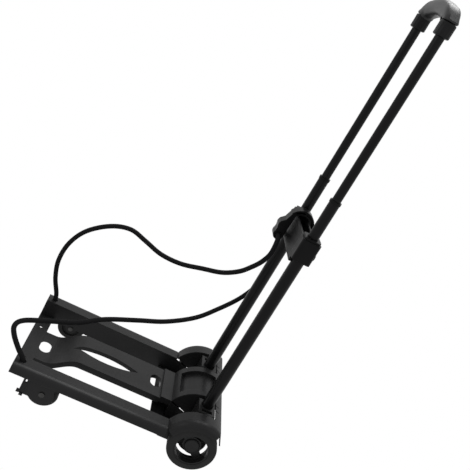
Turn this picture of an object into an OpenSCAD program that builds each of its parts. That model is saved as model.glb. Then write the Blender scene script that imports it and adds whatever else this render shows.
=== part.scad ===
/* [Platform] */
// Width of the platform over the side rails
deck_w = 264; // [260:1:268]
// Length of the platform from its front edge to the wheel axle
deck_len = 341; // [330:1:360]
// Height of the load surface above the floor
deck_h = 66; // [64:1:70]
// Width of one side rail
rail_w = 35; // [34:1:36]
// Wall thickness of the platform
wall = 2.5; // [2:0.1:3]
// Width of the centre arm
arm_w = 90; // [84:1:94]
// Outer radius of the hood over the axle
hood_r = 60; // [59:1:62]

/* [Wheels] */
// Diameter of a rear wheel
rear_wheel_d = 90; // [86:1:92]
// Diameter of a front wheel
front_wheel_d = 54; // [50:1:56]
// Diameter of the rear axle
axle_d = 8; // [7:1:10]

/* [Handle] */
// Distance between the two tube axes
tube_pitch = 128; // [128:1:136]
// Outer diameter of the lower tubes
lower_d = 22; // [22:1:23]
// Outer diameter of the middle tubes
middle_d = 19; // [18:0.5:19]
// Outer diameter of the upper tubes
upper_d = 15.6; // [15:0.1:15.7]
// Height of the underside of the tube clamp
clamp_z = 430; // [420:1:440]
// Height of the clamp collars
clamp_h = 43; // [40:1:48]
// Height of the top of the middle tubes
middle_top = 544; // [535:1:550]
// Height of the lower end of the grip's legs
grip_z = 827; // [815:1:835]
// Height of the grip from leg end to crown
grip_h = 57; // [54:1:62]

/* [Cord] */
// Diameter of the elastic cord
cord_d = 9; // [8:0.5:9.5]

/* [Hidden] */
$fn = 64;

satin_black = [0.09, 0.09, 0.10];
tube_black = [0.05, 0.05, 0.055];
tyre_black = [0.13, 0.13, 0.13];
grip_grey = [0.17, 0.17, 0.18];
steel = [0.55, 0.55, 0.57];

// Frame: X across the cart, front towards -Y, origin under the middle of the box.
wheel_r = rear_wheel_d / 2;
axle_z = wheel_r;
length_all = deck_len + wheel_r;
front_y = -length_all / 2;
axle_y = front_y + deck_len;
tube_x = tube_pitch / 2;
half_w = deck_w / 2;
rail_in = half_w - rail_w;
rail_round = 14;              // rounded outer edge of a rail
lip_z = deck_h - rail_round;  // lower edge of the outer lip
flange_h = 38;                // depth of the inner flange
flange_z = deck_h - flange_h;
plate_top = axle_z - lower_d / 2 - 0.8;
plate_t = wall;
plate_len = 27;
arm_top = deck_h - 4;
arm_half = arm_w / 2;
rise_y0 = front_y + 46;       // the arm climbs between these two stations
rise_y1 = front_y + 104;
kink_a = 180 - asin((deck_h - axle_z) / hood_r);
kink_y = axle_y + hood_r * cos(kink_a);
hood_end_a = 58;              // the round of the hood ends here and a flat skirt follows
skirt_y = 44;
skirt_z = 24;
arm_step_y = axle_y - 78;     // start of the raised pad ahead of the hood
front_wheel_r = front_wheel_d / 2;
front_wheel_y = front_y + 66;
front_wheel_w = 17;
front_wheel_x = rail_in + wall + 1.4 + front_wheel_w / 2;
rear_wheel_w = 22;
rear_wheel_x = half_w - 6 - rear_wheel_w / 2;
slot_in = arm_half;           // slots in the hood for the two tube roots
slot_out = rail_in;
socket_w = 40;
socket_x = (slot_in + slot_out) / 2;
socket_back = 17;
tube_wall = 1.2;
collar_d = 34;                // depth of a clamp collar, front to back
collar_w = 34;
bridge_z = clamp_z - 10;

// ---- small shape helpers ----
module mirror_x() { children(); mirror([1, 0, 0]) children(); }
module at_axle(x = 0) { translate([x, axle_y, axle_z]) rotate([90, 0, 90]) children(); }
module tube(d, w, z0, z1, x) {
    translate([x, axle_y, z0]) difference() {
        cylinder(d = d, h = z1 - z0);
        translate([0, 0, -1]) cylinder(d = d - 2 * w, h = z1 - z0 + 2);
    }
}
module rounded_rect(w, h, r) {
    union() {
        square([w - 2 * r, h], center = true);
        square([w, h - 2 * r], center = true);
        for (sx = [-1, 1], sy = [-1, 1]) translate([sx * (w / 2 - r), sy * (h / 2 - r)]) circle(r);
    }
}
function arc_points(r, a0, a1, n) = [for (i = [0:n]) let (a = a0 + (a1 - a0) * i / n) [r * cos(a), r * sin(a)]];

// ---- platform ----
ear_r = 10;
pin_r = 3;                     // radius of a front wheel's pin
cord_hole_d = cord_d + 1.4;
// Rail section in the XZ plane: flat top, round outer edge, short lip, deep inner flange.
module rail_outline(inset) {
    r = rail_round - inset;
    translate([half_w - rail_round, lip_z]) intersection() {
        circle(r);
        square(r + 1);
    }
    translate([rail_in + inset, lip_z])
        square([rail_w - rail_round - inset, rail_round - inset]);
}
module rail_section() {
    difference() {
        rail_outline(0);
        rail_outline(wall);
    }
    translate([rail_in, flange_z]) square([wall, flange_h - wall]);
}
module side_rail() {
    color(satin_black) difference() {
        union() {
            translate([0, front_y, 0]) rotate([90, 0, 0]) mirror([0, 0, 1])
                linear_extrude(kink_y - front_y) rail_section();
            // ear that holds the inner end of the front wheel's pin
            translate([rail_in, front_wheel_y, front_wheel_r]) rotate([90, 0, 90]) linear_extrude(wall) {
                circle(ear_r);
                translate([-ear_r + 1, 0]) square([2 * ear_r - 2, flange_z - front_wheel_r + 6]);
            }
        }
        translate([hole_x, hole_y, deck_h - 20]) cylinder(d = cord_hole_d, h = 40);
        translate([0, front_wheel_y, front_wheel_r]) rotate([0, 90, 0]) cylinder(r = pin_r, h = half_w);
    }
}
module side_rail_right() { side_rail(); }
module side_rail_left() { mirror([1, 0, 0]) side_rail(); }

small_hole_d = 6.5;
small_hole_y = front_y + 13;
hole_outer_x = 84;
hole_inner_x = 54;
module front_plate() {
    color(satin_black) translate([0, 0, plate_top - plate_t]) difference() {
        union() {
            translate([-rail_in, front_y, 0]) cube([2 * rail_in, plate_len, plate_t]);
            mirror_x() translate([rail_in - 8, front_y + plate_len - 0.01, 0]) difference() {
                cube([8, 8, plate_t]);
                translate([0, 8, -1]) cylinder(r = 8, h = plate_t + 2);
            }
            translate([-rail_in, front_y, -5]) cube([2 * rail_in, 2, 5.1]);
        }
        for (x = [-hole_outer_x, -hole_inner_x, hole_inner_x, hole_outer_x])
            translate([x, small_hole_y, -1]) cylinder(d = small_hole_d, h = plate_t + 2);
        finger_hole(front_y + 37, -10, 20);
    }
}
// Oval finger hole across the arm: two round ends joined by a straight part.
oval_r = 10.5;
oval_half = 7;
rear_oval_y = axle_y - 92;
module oval(r) {
    for (s = [-1, 1]) translate([s * oval_half, 0]) circle(r);
    square([2 * oval_half, 2 * r], center = true);
}
module finger_hole(y, z0, h) { translate([0, y, z0]) linear_extrude(h) oval(oval_r); }
// Side profile of the arm (Y across, Z up), level, climbing in an S, level again.
module arm_profile(depth) {
    n = 12;
    zl = plate_top;
    zh = arm_top;
    curve = [for (i = [0:n]) let (t = i / n)
        [rise_y0 + (rise_y1 - rise_y0) * t, zl + (zh - zl) * (1 - cos(180 * t)) / 2]];
    upper = concat([[front_y + plate_len, zl]], curve, [[arm_step_y, zh]]);
    lower = [for (i = [len(upper) - 1:-1:0]) [upper[i][0], upper[i][1] - depth]];
    polygon(concat(upper, lower));
}
module arm_solid(depth, half) {
    translate([-half, 0, 0]) rotate([90, 0, 90]) linear_extrude(2 * half) arm_profile(depth);
}
// Lens-shaped slot along the arm, widest in the middle and pointed at both ends.
lens_half = 64;
lens_w = 29;
lens_y = front_y + 148;
module lens(grow) {
    w = lens_w / 2 + grow;
    l = lens_half + grow;
    r = (l * l + w * w) / (2 * w);
    intersection() {
        translate([r - w, 0]) circle(r, $fn = 180);
        translate([w - r, 0]) circle(r, $fn = 180);
    }
}
arm_flange = 12;
module centre_arm() {
    color(satin_black) difference() {
        union() {
            arm_solid(wall, arm_half);
            mirror_x() translate([arm_half - wall / 2, 0, 0]) arm_solid(arm_flange, wall / 2);
            intersection() {
                arm_solid(8, arm_half - 1);
                union() {
                    translate([0, lens_y, 0]) linear_extrude(deck_h) lens(wall);
                    translate([0, rear_oval_y, 0]) linear_extrude(deck_h) oval(oval_r + wall);
                }
            }
            translate([-arm_half, arm_step_y, arm_top - 8]) cube([arm_w, kink_y - arm_step_y, deck_h - arm_top + 8]);
        }
        translate([-arm_half + wall, arm_step_y + wall, arm_top - 9])
            cube([arm_w - 2 * wall, kink_y - arm_step_y, deck_h - arm_top + 9 - wall]);
        translate([0, lens_y, -1]) linear_extrude(deck_h + 2) lens(0);
        finger_hole(rear_oval_y, 0, deck_h + 2);
        finger_hole(front_y + 37, 0, deck_h);
    }
}
// The hood's shell is swept round the axle: radius across, X position up the profile.
module sweep(a0, a1) { at_axle() rotate(a0) rotate_extrude(angle = a1 - a0) children(); }
module hood_edge_section() {
    translate([hood_r - rail_round, half_w - rail_round]) difference() {
        intersection() {
            circle(rail_round);
            square(rail_round + 1);
        }
        circle(rail_round - wall);
    }
}
module hood_section() {
    hood_edge_section();
    mirror([0, 1]) hood_edge_section();
    translate([hood_r - wall, -half_w + rail_round]) square([wall, deck_w - 2 * rail_round]);
}
window_half = 30;              // shallow window in the top of the hood
window_a = [76, 144];
tray_r = 50;                   // radius of the tray's underside
finger_cut = 1.8;
function polar(r, a) = [r * cos(a), r * sin(a)];
skirt_pts = [polar(hood_r, hood_end_a), [skirt_y, skirt_z], [skirt_y - wall, skirt_z],
    polar(hood_r - wall, hood_end_a), polar(hood_r - wall / 2, hood_end_a + 3)];
skirt_half = half_w - rail_round - 2;
slot_play = 0.2;               // the slots are this much wider than the gap between the webs
module axle_hood() {
    color(satin_black) {
        difference() {
            union() {
                sweep(hood_end_a, kink_a) hood_section();
                at_axle(-skirt_half) linear_extrude(2 * skirt_half) polygon(skirt_pts);
            }
            // slots in which the tube roots stand and swing forward
            mirror_x() translate([slot_in - slot_play, axle_y - hood_r - 1, axle_z - 20])
                cube([slot_out - slot_in + 2 * slot_play, hood_r + 1 + socket_back, 100]);
            // spring fingers behind the two tubes
            mirror_x() for (x = [tube_x - 8, tube_x + 7])
                translate([x, axle_y + socket_back - 1, axle_z + 30]) cube([finger_cut, 8, 40]);
            sweep(window_a[0], window_a[1])
                translate([hood_r - 8, -window_half]) square([12, 2 * window_half]);
        }
        // sunk tray in the window
        difference() {
            sweep(window_a[0] - 2, window_a[1] + 2)
                translate([tray_r, -window_half - wall]) square([hood_r - 1.2 - tray_r, 2 * window_half + 2 * wall]);
            sweep(window_a[0], window_a[1])
                translate([tray_r + wall, -window_half]) square([20, 2 * window_half]);
        }
        for (x = [-slot_in, slot_in - wall, slot_out, -slot_out - wall]) axle_web(x);
    }
}
// Web under the shell that carries the axle: a sector of a disc and a boss round the bore.
boss_r = 26;
module axle_web(x0) {
    far = 2 * hood_r;
    at_axle(x0) linear_extrude(wall) difference() {
        union() {
            intersection() {
                circle(hood_r - 1);
                polygon([[0, 0], polar(far, hood_end_a + 2), polar(far, 105), polar(far, kink_a - 1)]);
            }
            // foot that meets the rail's inner flange
            polygon([[0, 0], [-12, -boss_r + 8], [kink_y - axle_y, flange_z - axle_z],
                [kink_y - axle_y, deck_h - wall - axle_z - 1]]);
            circle(boss_r);
        }
        circle(d = axle_d);
    }
}
// Plate across the bottom ahead of the axle, stepped down under the tube roots.
cross_y = axle_y - 83;
cross_len = 25;
cross_drop = 7;
cross_back = 36;
module rear_cross_plate() {
    color(satin_black) translate([-rail_in, cross_y, plate_top - plate_t]) {
        cube([2 * rail_in, cross_len, plate_t]);
        translate([0, cross_len - wall, -cross_drop]) cube([2 * rail_in, wall, cross_drop + 0.1]);
        translate([0, cross_len - wall, -cross_drop]) cube([2 * rail_in, cross_back, plate_t]);
    }
}

// ---- front wheels ----
bracket_x = rail_in + wall + 1.4 + front_wheel_w + 1.4;
bracket_t = 2.5;
module front_bracket() {
    color(satin_black) {
        difference() {
            union() {
                translate([bracket_x, 0, 0]) rotate([90, 0, 90]) linear_extrude(bracket_t) {
                    translate([front_wheel_y, front_wheel_r]) circle(21);
                    translate([front_wheel_y - 38, 14]) square([56, deck_h - 18]);
                }
                // foot against the underside of the rail
                translate([0, front_wheel_y - 38, 0]) rotate([90, 0, 0]) mirror([0, 0, 1]) linear_extrude(56)
                    intersection() {
                        difference() {
                            rail_outline(wall);
                            rail_outline(2 * wall);
                        }
                        translate([rail_in + 2 * wall, deck_h - 11]) square([rail_w, 20]);
                    }
                // two upright ribs on the outside and the two catch lugs in front
                for (y = [front_wheel_y - 37, front_wheel_y - 29])
                    translate([bracket_x + 0.5, y, 15]) cube([bracket_t + 1, 1.6, 33]);
                translate([bracket_x, front_wheel_y - 42, 14.5]) cube([bracket_t + 1.5, 5, 5]);
                translate([bracket_x, front_wheel_y - 35.5, 10]) cube([bracket_t + 1.5, 6.2, 5]);
            }
            translate([0, front_wheel_y, front_wheel_r]) rotate([0, 90, 0]) cylinder(r = pin_r, h = 200);
            translate([bracket_x - 1, front_wheel_y - 34, 38]) cube([bracket_t + 2, 2.5, 8]);
        }
    }
}
module front_bracket_right() { front_bracket(); }
module front_bracket_left() { mirror([1, 0, 0]) front_bracket(); }
module front_wheel_pins() {
    color(steel) mirror_x() translate([rail_in - 2.5, front_wheel_y, front_wheel_r]) rotate([0, 90, 0]) {
        translate([0, 0, 2.5]) cylinder(r = pin_r, h = bracket_x + bracket_t - rail_in);
        translate([0, 0, bracket_x + bracket_t - rail_in + 2.5]) cylinder(r = 5, h = 1.8);
        translate([0, 0, 0.8]) cylinder(r = 4.5, h = 1.7);
    }
}
module front_wheel() {
    c = 2.5;
    hub_gap = 0.05;
    color(tyre_black) translate([front_wheel_x, front_wheel_y, front_wheel_r]) rotate([0, 90, 0])
        rotate_extrude() polygon([
            [pin_r + hub_gap, -front_wheel_w / 2], [9, -front_wheel_w / 2], [9, -front_wheel_w / 2 + 3],
            [18, -front_wheel_w / 2 + 3], [18, -front_wheel_w / 2], [front_wheel_r - c, -front_wheel_w / 2],
            [front_wheel_r, -front_wheel_w / 2 + c], [front_wheel_r, front_wheel_w / 2 - c],
            [front_wheel_r - c, front_wheel_w / 2], [18, front_wheel_w / 2], [18, front_wheel_w / 2 - 3],
            [9, front_wheel_w / 2 - 3], [9, front_wheel_w / 2], [pin_r + hub_gap, front_wheel_w / 2]]);
}
module front_wheel_right() { front_wheel(); }
module front_wheel_left() { mirror([1, 0, 0]) front_wheel(); }

// ---- rear axle and wheels ----
hub_face = 13;                 // depth of the hub face below the tyre's outer face
axle_end = rear_wheel_x - 3;
module axle() {
    color(steel) translate([-axle_end, axle_y, axle_z]) rotate([0, 90, 0]) cylinder(d = axle_d, h = 2 * axle_end);
}
nut_t = 3.4;
module axle_nuts() {
    color(steel) mirror_x() at_axle(axle_end - nut_t) difference() {
        cylinder(d = 14, h = nut_t, $fn = 6);
        translate([0, 0, -1]) cylinder(d = axle_d, h = nut_t + 2);
    }
}
module axle_washers() {
    gap = (slot_out - slot_in - socket_w) / 2;
    color(steel) mirror_x() for (p = [[slot_in + 0.2, gap - 0.4], [slot_out - gap + 0.2, gap - 0.4],
        [slot_out + wall, rear_wheel_x - rear_wheel_w / 2 - slot_out - wall - 0.3]]) at_axle(p[0]) difference() {
            cylinder(d = 15, h = p[1]);
            translate([0, 0, -1]) cylinder(d = axle_d, h = p[1] + 2);
        }
}
module pivot_spacer() {
    color(steel) at_axle(-slot_in + wall) difference() {
        cylinder(d = 15, h = 2 * (slot_in - wall));
        translate([0, 0, -1]) cylinder(d = axle_d, h = 2 * slot_in + 2);
    }
}
rim_r = 32;
module rear_tyre() {
    c = 4;
    color(tyre_black) translate([rear_wheel_x, axle_y, axle_z]) rotate([0, 90, 0]) rotate_extrude() polygon([
        [rim_r, -rear_wheel_w / 2 + 1], [wheel_r - c, -rear_wheel_w / 2], [wheel_r, -rear_wheel_w / 2 + c],
        [wheel_r, rear_wheel_w / 2 - c], [wheel_r - c, rear_wheel_w / 2], [rim_r, rear_wheel_w / 2 - 1]]);
}
web_t = 3;
cap_r = 14;
module rear_rim() {
    y0 = rear_wheel_w / 2;
    face = y0 - hub_face;
    color(satin_black) translate([rear_wheel_x, axle_y, axle_z]) rotate([0, 90, 0]) difference() {
        rotate_extrude() polygon([
            [axle_d / 2 + 0.05, -y0], [11, -y0], [11, face - web_t], [rim_r - 3, face - web_t],
            [rim_r - 3, -y0 + 1], [rim_r, -y0 + 1], [rim_r, y0 - 1], [rim_r - 3, y0 - 1],
            [rim_r - 3, face], [9, face], [9, face - 5], [axle_d / 2 + 0.05, face - 5]]);
        for (a = [135, 315]) rotate(a) linear_extrude(40, center = true) crescent();
    }
}
module hub_cap() {
    color(satin_black) translate([rear_wheel_x + rear_wheel_w / 2 - hub_face, axle_y, axle_z]) rotate([0, 90, 0])
        rotate_extrude() polygon([[0, 0], [cap_r, 0], [cap_r, 1.6], [cap_r - 1.4, 3], [0, 3]]);
}
module hub_cap_right() { hub_cap(); }
module hub_cap_left() { mirror([1, 0, 0]) hub_cap(); }
module crescent() {
    intersection() {
        difference() {
            circle(rim_r - 3.5);
            translate([-5, 0]) circle(21.5);
        }
        translate([8, -40]) square([40, 80]);
    }
}
module rear_tyre_right() { rear_tyre(); }
module rear_tyre_left() { mirror([1, 0, 0]) rear_tyre(); }
module rear_rim_right() { rear_rim(); }
module rear_rim_left() { mirror([1, 0, 0]) rear_rim(); }

// ---- folding handle, lower section ----
module root_socket() {
    color(satin_black) difference() {
        union() {
            at_axle(socket_x - socket_w / 2) cylinder(r = socket_back - 1, h = socket_w);
            translate([socket_x - socket_w / 2, axle_y - socket_back + 1, axle_z])
                cube([socket_w, 2 * socket_back - 2, hood_r - 4]);
        }
        at_axle(socket_x - socket_w) cylinder(d = axle_d + 0.1, h = 2 * socket_w);
        translate([tube_x, axle_y, lower_z0]) cylinder(d = lower_d, h = 80);
        // lightening pocket beside the tube
        translate([tube_x + lower_d / 2 + 3, axle_y - 10, axle_z + 20]) cube([8, 20, 60]);
    }
}
module root_socket_right() { root_socket(); }
module root_socket_left() { mirror([1, 0, 0]) root_socket(); }
lower_z0 = axle_z + 12;
lower_z1 = clamp_z + 26;
button_z = clamp_z + 14;
button_d = 7;
module lower_tube() {
    color(tube_black) difference() {
        tube(lower_d, tube_wall, lower_z0, lower_z1, tube_x);
        button_bore(button_d + 0.4);
    }
}
module button_bore(d) { translate([tube_x, axle_y, button_z]) rotate([-90, 0, 0]) cylinder(d = d, h = 40); }
module lower_tube_right() { lower_tube(); }
module lower_tube_left() { mirror([1, 0, 0]) lower_tube(); }
collar_c = 7;
module collar() {
    translate([tube_x, axle_y, clamp_z]) {
        linear_extrude(clamp_h - 4) rounded_rect(collar_w, collar_d, collar_c);
        translate([0, 0, clamp_h - 4.01]) linear_extrude(4.01) rounded_rect(collar_w - 5, collar_d - 5, collar_c - 2);
    }
}
module clamp_bridge() {
    color(satin_black) difference() {
        union() {
            mirror_x() collar();
            translate([-tube_x, axle_y - 16, bridge_z]) cube([tube_pitch, 22, clamp_z + clamp_h - 4 - bridge_z]);
        }
        mirror_x() translate([tube_x, axle_y, 0]) {
            translate([0, 0, bridge_z - 1]) cylinder(d = lower_d, h = lower_z1 - bridge_z + 1);
            cylinder(d = middle_d + 0.2, h = 900);
        }
        mirror_x() button_bore(button_d + 0.4);
        mirror_x() translate([tube_x, axle_y + button_floor, button_z]) rotate([-90, 0, 0])
            cylinder(d = 14, h = 10);
        // hollow back of the bridge
        translate([-tube_x + 20, axle_y - 13, bridge_z - 1]) cube([tube_pitch - 40, 16, clamp_h + 10]);
    }
}
screw_z = [bridge_z + 12, clamp_z + 16];
module clamp_screws() {
    color(steel) for (x = [-38, 38], z = screw_z) translate([x, axle_y + 6, z]) rotate([-90, 0, 0]) difference() {
        cylinder(d = 7, h = 2);
        translate([0, 0, 1]) cylinder(d = 3, h = 2, $fn = 6);
    }
}
// Sprung release button in the back of each collar. Pressed, it moves button_travel inwards.
button_travel = 2;
button_in = middle_d / 2 + 0.4 + button_travel + 0.2;
button_back = collar_d / 2 + 1.5;
button_floor = collar_d / 2 - 4;
module lock_button() {
    color(grip_grey) translate([tube_x, axle_y, button_z]) rotate([-90, 0, 0]) {
        translate([0, 0, button_in]) cylinder(d = button_d, h = button_back - button_in);
        translate([0, 0, button_back - 1.5]) cylinder(d = 12, h = 3);
    }
}
module lock_button_right() { lock_button(); }
module lock_button_left() { mirror([1, 0, 0]) lock_button(); }
// The spring is drawn at the height that it has with the button pressed home.
spring_h = button_back - 1.5 - button_travel - 0.4 - button_floor;
module lock_spring() {
    color(steel) translate([tube_x, axle_y + button_floor, button_z]) rotate([-90, 0, 0]) difference() {
        cylinder(d = 11, h = spring_h);
        translate([0, 0, -1]) cylinder(d = 8.6, h = spring_h + 2);
    }
}
module lock_spring_right() { lock_spring(); }
module lock_spring_left() { mirror([1, 0, 0]) lock_spring(); }

// ---- middle and upper sections ----
middle_len = 330;
upper_in = 44;                 // upper tube left inside the middle one when drawn out
module middle_tube() { color(tube_black) tube(middle_d, tube_wall, middle_top - middle_len, middle_top, tube_x); }
module middle_tube_right() { middle_tube(); }
module middle_tube_left() { mirror([1, 0, 0]) middle_tube(); }
module middle_bush() {
    color(satin_black) translate([tube_x, axle_y, middle_top - 4]) difference() {
        cylinder(d = middle_d + 1.6, h = 5);
        translate([0, 0, -1]) cylinder(d = middle_d, h = 5);
        translate([0, 0, -1]) cylinder(d = upper_d + 0.2, h = 8);
    }
}
module middle_bush_right() { middle_bush(); }
module middle_bush_left() { mirror([1, 0, 0]) middle_bush(); }
module upper_tube() { color(tube_black) tube(upper_d, 1, middle_top - upper_in, grip_z + 22, tube_x); }
module upper_tube_right() { upper_tube(); }
module upper_tube_left() { mirror([1, 0, 0]) upper_tube(); }

// ---- grip ----
leg_w = 27;
leg_d = 24;
grip_r = 30;                   // outer corner radius of the grip
module grip_outline(inset) {
    w = tube_pitch + leg_w - 2 * inset;
    difference() {
        union() {
            translate([-w / 2, 0]) square([w, grip_h - grip_r]);
            translate([0, grip_h - grip_r]) square([w - 2 * grip_r + 2 * inset, 2 * grip_r - 2 * inset], center = true);
            for (s = [-1, 1]) translate([s * (w / 2 - grip_r + inset), grip_h - grip_r]) circle(grip_r - inset);
        }
        // hand opening
        hw = tube_pitch / 2 - leg_w / 2 + inset;
        translate([-hw, -1]) square([2 * hw, grip_h - 32 - 12 + 1 + inset]);
        translate([-hw + 12, 0]) square([2 * hw - 24, grip_h - 32 + inset]);
        for (s = [-1, 1]) translate([s * (hw - 12), grip_h - 44 + inset]) circle(12);
    }
}
cover_z = 27;                  // the bright cover starts this high on the grip
module grip_body() {
    color(satin_black) translate([0, axle_y, grip_z]) difference() {
        union() {
            rotate([90, 0, 0]) linear_extrude(leg_d, center = true) intersection() {
                grip_outline(0);
                translate([-100, -1]) square([200, cover_z + 1]);
            }
            rotate([90, 0, 0]) linear_extrude(leg_d - 8, center = true) grip_outline(3.5);
            // ribs on the leg sleeves
            mirror_x() for (dx = [-9, -3, 3, 9]) translate([tube_x + dx - 0.8, -leg_d / 2 - 0.7, 3])
                cube([1.6, leg_d + 1.4, cover_z - 6]);
        }
        mirror_x() translate([tube_x, 0, -2]) cylinder(d = upper_d, h = 24);
    }
}
module grip_cover() {
    color(grip_grey) translate([0, axle_y, grip_z]) difference() {
        rotate([90, 0, 0]) linear_extrude(leg_d + 1.6, center = true) intersection() {
            grip_outline(-0.8);
            translate([-100, cover_z]) square([200, 60]);
        }
        rotate([90, 0, 0]) linear_extrude(leg_d - 8, center = true) grip_outline(3.5);
    }
}
module grip_screws() {
    color(steel) for (x = [-45, 0, 45]) translate([x, axle_y + leg_d / 2 + 0.8, grip_z + 40]) rotate([-90, 0, 0])
        difference() {
            cylinder(d = 7, h = 1.5);
            translate([0, 0, 0.8]) cylinder(d = 3, h = 2, $fn = 6);
        }
}

// ---- elastic cord ----
hook_x = -36;                  // middle of the hook
hook_w = 21;
hook_c = [axle_y - 5, clamp_z + 28];  // centre of the hook's arch in the YZ plane
hook_ri = 16;
hook_ro = 25;
rim_t = 2.8;                   // rims along both edges of the hook's sides
web_in = 7;                    // depth of the side pockets
eye = [hook_x, axle_y - 29.5, clamp_z - 7];
module arch_sector(r0, r1, a0, a1) {
    translate(hook_c) intersection() {
        difference() {
            circle(r1);
            circle(r0);
        }
        polygon([[0, 0], polar(60, a0), polar(60, (a0 + a1) / 2), polar(60, a1)]);
    }
}
module hook_outline() {
    arch_sector(hook_ri, hook_ro, -0.5, 155);
    // blunt tip behind the bridge
    translate([hook_c[0] + hook_ri, hook_c[1] - 8]) square([hook_ro - hook_ri - 2, 9]);
    translate([hook_c[0] + (hook_ri + hook_ro) / 2 - 1, hook_c[1] - 8]) circle(4);
    // shank from the arch down and forward to the eye, with a thumb lip
    polygon([polar(hook_ri, 150) + hook_c, polar(hook_ro, 143) + hook_c, [axle_y - 31, clamp_z + 24],
        [axle_y - 38, clamp_z + 17], [axle_y - 39.5, clamp_z + 11], [axle_y - 37.5, clamp_z + 3],
        [eye[1] - 9, eye[2]], [eye[1] + 9, eye[2]]]);
    translate([eye[1], eye[2]]) circle(9.5);
}
module cord_hook() {
    color(grip_grey) difference() {
        translate([hook_x - hook_w / 2, 0, 0]) rotate([90, 0, 90]) linear_extrude(hook_w) hook_outline();
        for (x = [hook_x - hook_w / 2 - 1, hook_x + hook_w / 2 - web_in]) translate([x, 0, 0])
            rotate([90, 0, 90]) linear_extrude(web_in + 1) {
                arch_sector(hook_ri + rim_t, hook_ro - rim_t, 8, 85);
                arch_sector(hook_ri + rim_t, hook_ro - rim_t, 92, 138);
            }
        translate([hook_x - 50, eye[1], eye[2]]) rotate([0, 90, 0]) cylinder(d = cord_d + 1, h = 100);
    }
}
knot_d = 15;
knot_z = deck_h - wall - sqrt(pow(knot_d / 2, 2) - pow(cord_hole_d / 2, 2));  // drawn up into the hole
module cord_knot() {
    color(tube_black) translate([hole_x, hole_y, knot_z]) sphere(d = knot_d);
}
module cord_knot_right() { cord_knot(); }
module cord_knot_left() { mirror([1, 0, 0]) cord_knot(); }

// Route of the cord: near front corner, across the deck, through the hook, back to the far corner.
hole_x = rail_in + 12;
hole_y = front_y + 14;
ROUTE = [[hole_x, hole_y, 58], [hole_x, hole_y - 1, 70], [106, -195, 82], [99, -211, 98], [88, -218, 108],
    [74, -210, 114], [54, -180, 117], [24, -125, 123], [0, -82, 138], [-26, -26, 149], [-46, 24, 160],
    [-64, 73, 184], [-78, 106, 214], [-88, 136, 252], [-94, 153, 290], [-98, 158, 325], [-97, 153, 356],
    [-93, 145, 382], [-84, 134, 404], [-70, 123, 418], [eye[0] - 20, eye[1] + 0.5, 423], [eye[0] - 9, eye[1], eye[2]],
    [eye[0] + 9, eye[1], eye[2]], [eye[0] + 20, eye[1] + 0.5, 421], [-5, 119, 410], [1, 118, 392], [-4, 113, 371],
    [-19, 106, 348], [-38, 95, 322], [-53, 72, 299], [-62, 38, 285], [-70, -2, 271], [-77, -42, 268], [-85, -78, 275],
    [-90, -112, 281], [-95, -148, 267], [-102, -184, 233], [-106, -203, 193], [-108, -207, 150],
    [-109, -198, 112], [-hole_x, hole_y - 2, 78], [-hole_x, hole_y, 58]];
function spline(p, i, t) = let (
    a = p[max(i - 1, 0)], b = p[i], c = p[i + 1], d = p[min(i + 2, len(p) - 1)])
    0.5 * (2 * b + (c - a) * t + (2 * a - 5 * b + 4 * c - d) * t * t + (3 * b - a - 3 * c + d) * t * t * t);
function unit(v) = v / norm(v);
steps = 2;
PATH = concat([for (i = [0:len(ROUTE) - 2], k = [0:steps - 1]) spline(ROUTE, i, k / steps)], [ROUTE[len(ROUTE) - 1]]);
TANGENT = [for (i = [0:len(PATH) - 1]) unit(PATH[min(i + 1, len(PATH) - 1)] - PATH[max(i - 1, 0)])];
NORMAL = [for (i = 0, n = [1, 0, 0]; i < len(PATH); i = i + 1,
    n = i < len(PATH) ? unit(n - (n * TANGENT[i]) * TANGENT[i]) : n) n];
sides = 8;
module elastic_cord() {
    r = cord_d / 2;
    points = [for (i = [0:len(PATH) - 1], k = [0:sides - 1]) let (a = 360 * k / sides)
        PATH[i] + r * (cos(a) * NORMAL[i] + sin(a) * cross(TANGENT[i], NORMAL[i]))];
    last = (len(PATH) - 1) * sides;
    color(tube_black) polyhedron(points, concat(
        [[for (k = [0:sides - 1]) k]],
        [for (i = [0:len(PATH) - 2], k = [0:sides - 1]) let (a = i * sides + k, b = i * sides + (k + 1) % sides)
            [a, a + sides, b + sides, b]],
        [[for (k = [sides - 1:-1:0]) last + k]]));
}

side_rail_right();
side_rail_left();
front_plate();
centre_arm();
axle_hood();
front_bracket_right();
front_bracket_left();
front_wheel_pins();
axle();
axle_nuts();
rear_tyre_right();
rear_tyre_left();
rear_rim_right();
rear_rim_left();
front_wheel_right();
front_wheel_left();
hub_cap_right();
hub_cap_left();
rear_cross_plate();
axle_washers();
pivot_spacer();
root_socket_right();
root_socket_left();
lower_tube_right();
lower_tube_left();
clamp_bridge();
clamp_screws();
lock_button_right();
lock_button_left();
lock_spring_right();
lock_spring_left();
middle_tube_right();
middle_tube_left();
middle_bush_right();
middle_bush_left();
upper_tube_right();
upper_tube_left();
grip_body();
grip_cover();
grip_screws();
cord_knot_right();
cord_knot_left();
cord_hook();
elastic_cord();
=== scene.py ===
import math

import bmesh
import bpy
from mathutils import Matrix, Vector


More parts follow.
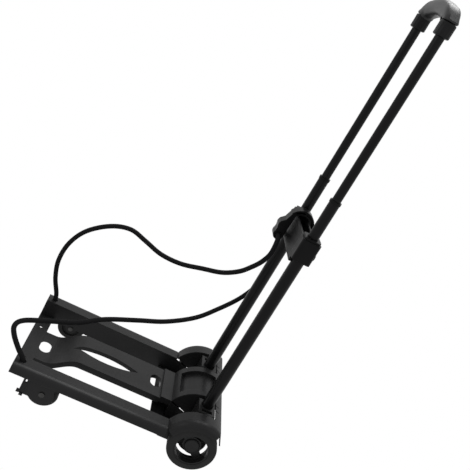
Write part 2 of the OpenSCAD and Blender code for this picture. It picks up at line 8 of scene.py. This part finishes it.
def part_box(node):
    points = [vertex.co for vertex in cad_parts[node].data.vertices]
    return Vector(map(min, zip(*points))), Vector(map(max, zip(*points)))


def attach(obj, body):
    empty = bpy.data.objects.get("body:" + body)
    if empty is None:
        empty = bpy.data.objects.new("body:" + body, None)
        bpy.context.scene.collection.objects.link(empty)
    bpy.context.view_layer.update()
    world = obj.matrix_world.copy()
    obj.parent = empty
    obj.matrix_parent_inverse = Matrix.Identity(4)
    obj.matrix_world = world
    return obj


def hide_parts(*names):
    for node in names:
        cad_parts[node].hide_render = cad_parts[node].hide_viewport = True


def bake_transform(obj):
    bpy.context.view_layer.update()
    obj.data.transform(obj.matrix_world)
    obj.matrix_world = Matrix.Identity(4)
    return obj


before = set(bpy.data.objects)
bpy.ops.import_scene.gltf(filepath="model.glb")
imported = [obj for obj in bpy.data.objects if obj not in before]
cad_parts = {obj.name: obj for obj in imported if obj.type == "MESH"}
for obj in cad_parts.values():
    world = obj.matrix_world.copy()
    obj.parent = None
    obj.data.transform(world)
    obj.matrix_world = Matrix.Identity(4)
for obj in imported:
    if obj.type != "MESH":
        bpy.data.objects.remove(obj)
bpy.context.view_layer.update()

# ---- Camera ----
# Seen from the right-hand side and a little in front, from just below the height of the grip,
# with the camera rolled, so that the cart seems to lean back on its wheels.
camera_place = Vector((1.0535, -0.1642, 0.7667))
camera_azimuth, camera_elevation, camera_roll = (math.radians(a) for a in (78.69, 19.08, 30.26))
look = Vector((
    -math.sin(camera_azimuth) * math.cos(camera_elevation),
    math.cos(camera_azimuth) * math.cos(camera_elevation),
    -math.sin(camera_elevation),
))
level_right = look.cross(Vector((0, 0, 1))).normalized()
level_up = level_right.cross(look)
camera_x = math.cos(camera_roll) * level_right + math.sin(camera_roll) * level_up
camera_y = math.cos(camera_roll) * level_up - math.sin(camera_roll) * level_right
camera_data = bpy.data.cameras.new("camera")
camera_data.lens = 50.4
camera_data.clip_end = 100
camera = bpy.data.objects.new("camera", camera_data)
camera.matrix_world = Matrix.Translation(camera_place) @ Matrix(
    (camera_x, camera_y, -look)).transposed().to_4x4()
bpy.context.scene.collection.objects.link(camera)
bpy.context.scene.camera = camera

# ---- Studio ----
# A white surround, a floor that glows like it, so that no shadow shows, and three soft lamps.
bpy.context.scene.view_settings.view_transform = "Standard"
studio = bpy.data.worlds.new("studio")
studio.use_nodes = True
studio.node_tree.nodes["Background"].inputs["Color"].default_value = (1, 1, 1, 1)
studio.node_tree.nodes["Background"].inputs["Strength"].default_value = 1.0
bpy.context.scene.world = studio
floor_mesh = bpy.data.meshes.new("floor")
floor_reach = 40
floor_mesh.from_pydata(
    [(x * floor_reach, y * floor_reach, 0) for x, y in ((-1, -1), (1, -1), (1, 1), (-1, 1))],
    [], [(0, 1, 2, 3)])
floor = bpy.data.objects.new("floor", floor_mesh)
bpy.context.scene.collection.objects.link(floor)
floor_paint = bpy.data.materials.new("floor_paper")
floor_paint.use_nodes = True
floor_surface = floor_paint.node_tree.nodes["Principled BSDF"]
floor_surface.inputs["Base Color"].default_value = (0, 0, 0, 1)
floor_surface.inputs["Emission Color"].default_value = (1, 1, 1, 1)
floor_surface.inputs["Emission Strength"].default_value = 1.0
floor_surface.inputs["Roughness"].default_value = 1.0
floor_surface.inputs["Specular IOR Level"].default_value = 0.0
floor_mesh.materials.append(floor_paint)


def soft_lamp(name, place, target, size, power):
    data = bpy.data.lights.new(name, "AREA")
    data.shape = "DISK"
    data.size = size
    data.energy = power
    lamp = bpy.data.objects.new(name, data)
    lamp.location = place
    lamp.rotation_mode = "QUATERNION"
    lamp.rotation_quaternion = (Vector(target) - Vector(place)).to_track_quat("-Z", "Y")
    bpy.context.scene.collection.objects.link(lamp)


soft_lamp("lamp_above", (-0.7, 0.2, 1.9), (0, 0, 0.2), 1.2, 26)
soft_lamp("lamp_front", (0.6, -1.6, 1.2), (0, 0, 0.3), 0.9, 4)
soft_lamp("lamp_back", (0.9, 1.3, 1.3), (0, 0.1, 0.6), 0.9, 1.5)


# ---- Elastic cord ----
# A braided elastic of 9 mm, knotted under both front corners and threaded through the hook on the
# clamp. It stands up in two loose loops, held by its own stiffness.
class Field:
    """A shader socket that takes part in arithmetic."""

    def __init__(self, finish, socket):
        self.finish = finish
        self.socket = socket

    def math(self, operation, *others):
        return self.finish.node("ShaderNodeMath", {"operation": operation}, (self, *others))

    def __add__(self, other):
        return self.math("ADD", other)

    def __sub__(self, other):
        return self.math("SUBTRACT", other)

    def __mul__(self, other):
        return self.math("MULTIPLY", other)

    def __rmul__(self, other):
        return self.math("MULTIPLY", other)

    def __radd__(self, other):
        return self.math("ADD", other)

    def __rsub__(self, other):
        return self.finish.node("ShaderNodeMath", {"operation": "SUBTRACT"}, (other, self))


class Finish:
    """One material: a Principled surface, numbers set on its sockets, and fields fed into them."""

    def __init__(self, name, **numbers):
        self.material = bpy.data.materials.new(name)
        self.material.use_nodes = True
        self.tree = self.material.node_tree
        self.surface = self.tree.nodes["Principled BSDF"]
        for socket, number in numbers.items():
            self.surface.inputs[socket.replace("_", " ")].default_value = number

    def node(self, kind, settings=None, inputs=(), output=0):
        made = self.tree.nodes.new(kind)
        for key, setting in (settings or {}).items():
            setattr(made, key, setting)
        pairs = inputs.items() if isinstance(inputs, dict) else enumerate(inputs)
        for key, given in pairs:
            if isinstance(given, Field):
                self.tree.links.new(given.socket, made.inputs[key])
            else:
                made.inputs[key].default_value = given
        return Field(self, made.outputs[output])

    def object_place(self):
        return self.node("ShaderNodeTexCoord", output="Object")

    def uv_place(self):
        return self.node("ShaderNodeTexCoord", output="UV")

    def stretched(self, place, scale):
        return self.node("ShaderNodeMapping", None, {"Vector": place, "Scale": scale})

    def noise(self, place, scale, detail=3.0, roughness=0.55):
        return self.node("ShaderNodeTexNoise", None,
                         {"Vector": place, "Scale": scale, "Detail": detail, "Roughness": roughness})

    def ramp(self, field, low, high):
        return self.node("ShaderNodeMapRange", None, (field, low, high, 0.0, 1.0))

    def blended(self, mask, dark, light):
        return self.node("ShaderNodeMix", {"data_type": "RGBA"}, {0: mask, 6: dark, 7: light}, 2)

    def bumped(self, height, depth, strength=1.0, rounding=0.0):
        inputs = {"Height": height, "Distance": depth, "Strength": strength}
        if rounding:
            inputs["Normal"] = self.node("ShaderNodeBevel", {"samples": 4}, {"Radius": rounding})
        return self.node("ShaderNodeBump", None, inputs)

    def feed(self, **fields):
        for socket, field in fields.items():
            self.tree.links.new(field.socket, self.surface.inputs[socket.replace("_", " ")])
        return self.material


def braid_finish():
    """Black polyester sleeve: two sets of strands that cross, with a painted highlight on the high strands
    and painted shade between them, speckled with fibre fuzz.
    """
    strands, pitch = 12, 230
    finish = Finish("braided_sleeve", Specular_IOR_Level=0.04)
    parts = finish.tree.nodes.new("ShaderNodeSeparateXYZ")
    finish.tree.links.new(finish.uv_place().socket, parts.inputs[0])
    around, along = Field(finish, parts.outputs[0]), Field(finish, parts.outputs[1])
    right_hand = (math.tau * strands * around + math.tau * pitch * along).math("SINE")
    left_hand = (math.tau * strands * around - math.tau * pitch * along).math("SINE")
    height = right_hand * left_hand * 0.5 + 0.5
    fuzz = finish.noise(finish.object_place(), 900.0)
    # Mostly strand height, which paints a highlight on the crowns and shade in the hollows between strands,
    # and partly real fibre fuzz.
    mask = height * 0.7 + fuzz * 0.3
    return finish.feed(
        Base_Color=finish.blended(mask, (0.0025, 0.0025, 0.0025, 1), (0.009, 0.009, 0.0095, 1)),
        Roughness=mask * 0.2 + 0.6,
        Normal=finish.bumped(mask, 0.0004, 0.8),
    )


def as_object(name, mesh):
    piece = bpy.data.objects.new(name, mesh)
    bpy.context.scene.collection.objects.link(piece)
    return piece


def smooth_mesh(name, points, faces, sharp_degrees=40):
    mesh = bpy.data.meshes.new(name)
    mesh.from_pydata([tuple(p) for p in points], [], faces)
    shape = bmesh.new()
    shape.from_mesh(mesh)
    bmesh.ops.recalc_face_normals(shape, faces=shape.faces)
    for edge in shape.edges:
        edge.smooth = len(edge.link_faces) == 2 and edge.calc_face_angle() < math.radians(sharp_degrees)
    for face in shape.faces:
        face.smooth = True
    shape.to_mesh(mesh)
    shape.free()
    return mesh


def joined_rings(rings, closed_ends=True):
    """Points and faces of a skin over rings of equal length, with a fan over each end."""
    count = len(rings[0])
    points = [p for ring in rings for p in ring]
    faces = [(i * count + k, i * count + (k + 1) % count,
              (i + 1) * count + (k + 1) % count, (i + 1) * count + k)
             for i in range(len(rings) - 1) for k in range(count)]
    if closed_ends:
        last = (len(rings) - 1) * count
        faces.append(tuple(range(count))[::-1])
        faces.append(tuple(last + k for k in range(count)))
    return points, faces


def spline(route, steps):
    """Catmull-Rom curve through the points of route."""
    curve = []
    for i in range(len(route) - 1):
        a, b, c, d = (Vector(route[j]) for j in (max(i - 1, 0), i, i + 1, min(i + 2, len(route) - 1)))
        for k in range(steps):
            t = k / steps
            curve.append(0.5 * (2 * b + (c - a) * t + (2 * a - 5 * b + 4 * c - d) * t ** 2
                                + (3 * b - a - 3 * c + d) * t ** 3))
    return curve + [Vector(route[-1])]


CORD_D = 0.009
CORD_ROUTE = [(x / 1000, y / 1000, z / 1000) for x, y, z in (
    (109, -180, 58), (109, -182, 70), (106, -195, 82), (99, -211, 98), (88, -218, 108),
    (74, -210, 114), (54, -180, 117), (24, -125, 123), (0, -82, 138), (-26, -26, 149), (-46, 24, 160),
    (-64, 73, 184), (-78, 106, 214), (-88, 136, 252), (-94, 153, 290), (-98, 158, 325), (-97, 153, 356),
    (-93, 145, 382), (-84, 134, 404), (-70, 123, 418), (-56, 119, 423), (-45, 118.5, 423),
    (-27, 118.5, 423), (-16, 119, 421), (-5, 119, 410), (1, 118, 392), (-4, 113, 371),
    (-19, 106, 348), (-38, 95, 322), (-53, 72, 299), (-62, 38, 285), (-70, -2, 271), (-77, -42, 268),
    (-85, -78, 275), (-90, -112, 281), (-95, -148, 267), (-102, -184, 233), (-106, -203, 193),
    (-108, -207, 150), (-109, -198, 112), (-109, -182, 78), (-109, -180, 58))]
cord_line = spline(CORD_ROUTE, 6)
cord_length = sum((b - a).length for a, b in zip(cord_line, cord_line[1:]))


def give(finish, *names):
    """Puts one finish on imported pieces, in place of the one they came with."""
    for name in names:
        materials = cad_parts[name].data.materials
        materials.clear()
        materials.append(finish)


def tube_along(name, line, radius, sides=14):
    """A round tube whose UV runs once round it, and along it in metres."""
    rings, side, run, runs = [], Vector((1, 0, 0)), 0.0, []
    for i, point in enumerate(line):
        along = (line[min(i + 1, len(line) - 1)] - line[max(i - 1, 0)]).normalized()
        side = (side - side.dot(along) * along).normalized()
        across = along.cross(side)
        rings.append([point + radius * (math.cos(a) * side + math.sin(a) * across)
                      for a in (math.tau * k / sides for k in range(sides))])
        run += (point - line[max(i - 1, 0)]).length
        runs.append(run)
    points, faces = joined_rings(rings)
    mesh = smooth_mesh(name, points, faces, 70)
    uv = mesh.uv_layers.new(name="UVMap")
    for face in mesh.polygons:
        if len(face.vertices) > 4:
            continue
        ks = [mesh.loops[l].vertex_index % sides for l in face.loop_indices]
        for l, k in zip(face.loop_indices, ks):
            turn = sides if k == 0 and max(ks) == sides - 1 else k
            uv.data[l].uv = (turn / sides, runs[mesh.loops[l].vertex_index // sides])
    return mesh


cord = as_object("braided_cord", tube_along("braided_cord", cord_line, CORD_D / 2))
cord_sleeve = braid_finish()
cord.data.materials.append(cord_sleeve)
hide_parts("elastic_cord")
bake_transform(cord)
give(cord_sleeve, "cord_knot_right", "cord_knot_left")


# ---- Platform mouldings ----
# Rails, front plate, arm, hood, cross plate, brackets and tube roots are one black nylon compound,
# moulded with a fine spark-eroded grain that is rubbed smoother on the tops.
def moulded_finish(name, dark, light, rough, grain, rounding, sheen=0.14):
    finish = Finish(name, Specular_IOR_Level=sheen)
    place = finish.object_place()
    cloud = finish.ramp(finish.noise(place, 9.0), 0.35, 0.7)
    grit = finish.noise(place, 1400.0, 2.0)
    scuff = finish.ramp(finish.noise(finish.stretched(place, (1.0, 0.12, 1.0)), 160.0, 4.0, 0.7), 0.62, 0.78)
    shade = cloud * 0.5 + scuff * 0.4
    return finish.feed(
        Base_Color=finish.blended(shade, (dark, dark, dark * 1.02, 1), (light, light, light * 1.03, 1)),
        Roughness=rough - 0.10 * cloud + 0.12 * scuff,
        Normal=finish.bumped(grit, grain, 0.5, rounding),
    )


give(moulded_finish("moulded_nylon", 0.006, 0.012, 0.44, 0.00012, 0.0009),
     "side_rail_right", "side_rail_left", "front_plate", "centre_arm", "axle_hood", "rear_cross_plate",
     "front_bracket_right", "front_bracket_left", "root_socket_right", "root_socket_left",
     "rear_rim_right", "rear_rim_left", "hub_cap_right", "hub_cap_left")


# ---- Clamp and hook ----
# The clamp over the tubes, its buttons, the tube bushes and the cord's hook: a darker nylon, smoother
# and duller than the platform's.
give(moulded_finish("clamp_nylon", 0.0025, 0.006, 0.40, 0.00008, 0.0009, 0.07),
     "clamp_bridge", "cord_hook", "middle_bush_right", "middle_bush_left", "lock_button_right",
     "lock_button_left")


# ---- Wheels ----
# Solid rubber tyres pressed on moulded rims. The tread is plain.
def rubber_finish():
    finish = Finish("solid_rubber", Specular_IOR_Level=0.14)
    place = finish.object_place()
    cloud = finish.ramp(finish.noise(place, 40.0), 0.35, 0.7)
    grit = finish.noise(place, 1100.0, 3.0)
    return finish.feed(
        Base_Color=finish.blended(cloud, (0.008, 0.008, 0.008, 1), (0.014, 0.014, 0.014, 1)),
        Roughness=0.62 + 0.1 * cloud,
        Normal=finish.bumped(grit, 0.00012, 0.5),
    )


def lathed(name, profile, centre, segments=96):
    """A closed profile of (radius, x) points turned round the line through centre along X."""
    rings = [[Vector((centre[0] + x, centre[1] + r * math.cos(a), centre[2] + r * math.sin(a)))
              for r, x in profile]
             for a in (math.tau * k / segments for k in range(segments))]
    points, faces = joined_rings(rings + [rings[0]], closed_ends=False)
    mesh = smooth_mesh(name, points, faces)
    shape = bmesh.new()
    shape.from_mesh(mesh)
    bmesh.ops.remove_doubles(shape, verts=shape.verts, dist=1e-7)
    bmesh.ops.recalc_face_normals(shape, faces=shape.faces)
    shape.to_mesh(mesh)
    shape.free()
    return mesh


def rounded_profile(r_in, r_out, half, round_out, round_in=0.0006, arc=6):
    """Section of a ring with rounded corners, as (radius, x) points in order."""
    corners = ((r_out - round_out, half - round_out, round_out, 0),
               (r_out - round_out, -half + round_out, round_out, 270),
               (r_in + round_in, -half + round_in, round_in, 180),
               (r_in + round_in, half - round_in, round_in, 90))
    points = []
    for r, x, radius, start in corners:
        for k in range(arc + 1):
            a = math.radians(start + 90 - 90 * k / arc)
            points.append((r + radius * math.cos(a), x + radius * math.sin(a)))
    return points


wheel_rubber = rubber_finish()
for side in ("right", "left"):
    low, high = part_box("rear_tyre_" + side)
    centre = (low + high) / 2
    half, radius = (high.x - low.x) / 2, (high.z - low.z) / 2
    profile = rounded_profile(0.0321, radius - 0.0001, half - 0.0002, 0.0042)
    tyre = as_object("tyre_" + side, lathed("tyre_" + side, profile, centre))
    tyre.data.materials.append(wheel_rubber)
    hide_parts("rear_tyre_" + side)
    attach(tyre, "rear_wheel_" + side)
    give(wheel_rubber, "front_wheel_" + side)


# ---- Metal parts ----
# Zinc-plated axle, spacer, washers, and nuts, black-oxide screws and pins and bright button springs.
def plated_finish(name, tone, rough):
    finish = Finish(name, Metallic=1.0)
    place = finish.object_place()
    turned = finish.noise(finish.stretched(place, (0.15, 1.0, 1.0)), 900.0, 3.0)
    cloud = finish.ramp(finish.noise(place, 70.0), 0.3, 0.7)
    return finish.feed(
        Base_Color=finish.blended(cloud, (tone, tone, tone, 1), (tone * 0.75, tone * 0.74, tone * 0.72, 1)),
        Roughness=rough + 0.14 * cloud,
        Normal=finish.bumped(turned, 0.00005, 0.4, 0.0003),
    )


give(plated_finish("zinc_plate", 0.42, 0.28), "axle", "axle_nuts", "axle_washers", "pivot_spacer",
     "lock_spring_right", "lock_spring_left")
give(plated_finish("black_oxide", 0.06, 0.36), "clamp_screws", "grip_screws", "front_wheel_pins")


# ---- Handle tubes ----
# Three sizes of steel tube, powder painted black in satin gloss and rubbed lengthwise by sliding.
def tube_finish():
    finish = Finish("tube_paint", Specular_IOR_Level=0.1, Coat_Roughness=0.12)
    place = finish.object_place()
    peel = finish.noise(place, 420.0, 2.0)
    rub = finish.ramp(finish.noise(finish.stretched(place, (1.0, 1.0, 0.02)), 900.0, 3.0, 0.6), 0.55, 0.75)
    cloud = finish.ramp(finish.noise(place, 14.0), 0.35, 0.7)
    return finish.feed(
        Base_Color=finish.blended(rub * 0.6, (0.0022, 0.0022, 0.0024, 1), (0.007, 0.007, 0.0074, 1)),
        Roughness=0.28 + 0.16 * rub + 0.06 * cloud,
        Coat_Weight=0.02 - 0.015 * rub,
        Normal=finish.bumped(peel, 0.00004, 0.5),
    )


give(tube_finish(), *(f"{size}_tube_{side}" for size in ("lower", "middle", "upper")
                      for side in ("right", "left")))


# ---- Grip ----
# A satin cover, bent into an arch over the crossbar and corners, and below it a ribbed sleeve on each
# tube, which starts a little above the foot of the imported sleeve.
grip_low, grip_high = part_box("grip_body")
cover_low, cover_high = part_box("grip_cover")
tube_low, tube_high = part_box("upper_tube_right")
grip_axis_x = (tube_low.x + tube_high.x) / 2
grip_y = (grip_low.y + grip_high.y) / 2
seam_z = cover_low.z
squareness, rib_count = 2.7, 16


def grip_ring(centre, lengthwise, width, depth, ribs=0.0, count=64):
    """Rounded-rectangle section across lengthwise, which lies in the XZ plane."""
    across = Vector((lengthwise.z, 0, -lengthwise.x))
    ring = []
    for k in range(count):
        a = math.tau * k / count
        c, s = math.cos(a), math.sin(a)
        size = (abs(c) ** squareness + abs(s) ** squareness) ** (-1 / squareness)
        size *= 1 - ribs * (0.5 + 0.5 * math.cos(rib_count * a))
        ring.append(centre + width / 2 * size * c * across + depth / 2 * size * s * Vector((0, 1, 0)))
    return ring


bar_thick, leg_wide, cover_deep, bend, crown = 0.0262, 0.027, 0.0252, 0.024, 0.005
bar_z = cover_high.z - crown - bar_thick / 2
cover_wide = leg_wide + 0.0004
straight = 0.003        # height of the cover below the bend
just_below = 0.999      # keeps the last straight ring just under the first ring of the bend
bend_steps = 12
cover_rings = []
for rise, inset in ((0, 0.0014), (0.0006, 0.0004), (0.0016, 0), (straight, 0)):
    centre = Vector((grip_axis_x, grip_y, seam_z + rise * just_below))
    cover_rings.append(grip_ring(centre, Vector((0, 0, 1)), cover_wide - 2 * inset, cover_deep - 2 * inset))
for k in range(bend_steps + 1):
    a = math.radians(90 * k / bend_steps)
    centre = Vector((grip_axis_x - bend + bend * math.cos(a), grip_y, bar_z - bend + bend * math.sin(a)))
    if centre.z < seam_z + straight:
        continue
    lengthwise = Vector((-math.sin(a), 0, math.cos(a)))
    width = cover_wide + (bar_thick - cover_wide) * k / bend_steps
    cover_rings.append(grip_ring(centre, lengthwise, width, cover_deep))
bar_half = grip_axis_x - bend
bar_rings = [grip_ring(Vector((x * bar_half, grip_y, bar_z + crown * (1 - x * x))),
                       Vector((-1, 0, 2 * crown * x / bar_half)).normalized(), bar_thick, cover_deep)
             for x in (k / 8 for k in range(7, -8, -1))]


def mirrored(ring):
    """The ring on the other leg. Its points keep their order, so that the skin runs on without a twist."""
    return [Vector((-p.x, p.y, p.z)) for p in ring]


grip_points, grip_faces = joined_rings(cover_rings + bar_rings + [mirrored(r) for r in reversed(cover_rings)])
cover = as_object("grip_top_cover", smooth_mesh("grip_top_cover", grip_points, grip_faces))
cover.data.materials.append(moulded_finish("gloss_cover", 0.008, 0.016, 0.44, 0.00004, 0.0, 0.22))
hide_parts("grip_cover")
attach(cover, "mast_upper")

rib_deep, sleeve_deep = 0.045, 0.0246
# Height above the leg's foot, inset of the outline, and 1 where the sleeve is ribbed.
sleeve_stations = ((0.005, 0.0016, 0), (0.0056, 0.0005, 0), (0.0066, 0, 0), (0.0080, 0, 0), (0.0088, 0, 1),
                   (0.0232, 0, 1), (0.0240, 0, 0), (0.0258, 0, 0), (0.0268, 0.0008, 0), (0.0272, 0.0022, 0))
sleeve_points, sleeve_faces = [], []
for sign in (1, -1):
    rings = [grip_ring(Vector((sign * grip_axis_x, grip_y, grip_low.z + z)), Vector((0, 0, 1)),
                       leg_wide - 2 * inset, sleeve_deep - 2 * inset, rib_deep * ribbed)
             for z, inset, ribbed in sleeve_stations]
    points, faces = joined_rings(rings)
    sleeve_faces += [tuple(i + len(sleeve_points) for i in face) for face in faces]
    sleeve_points += points
sleeves = as_object("grip_sleeves", smooth_mesh("grip_sleeves", sleeve_points, sleeve_faces))
sleeves.data.materials.append(moulded_finish("sleeve_rubber", 0.005, 0.009, 0.5, 0.0001, 0.0, 0.1))
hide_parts("grip_body")
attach(sleeves, "mast_upper")
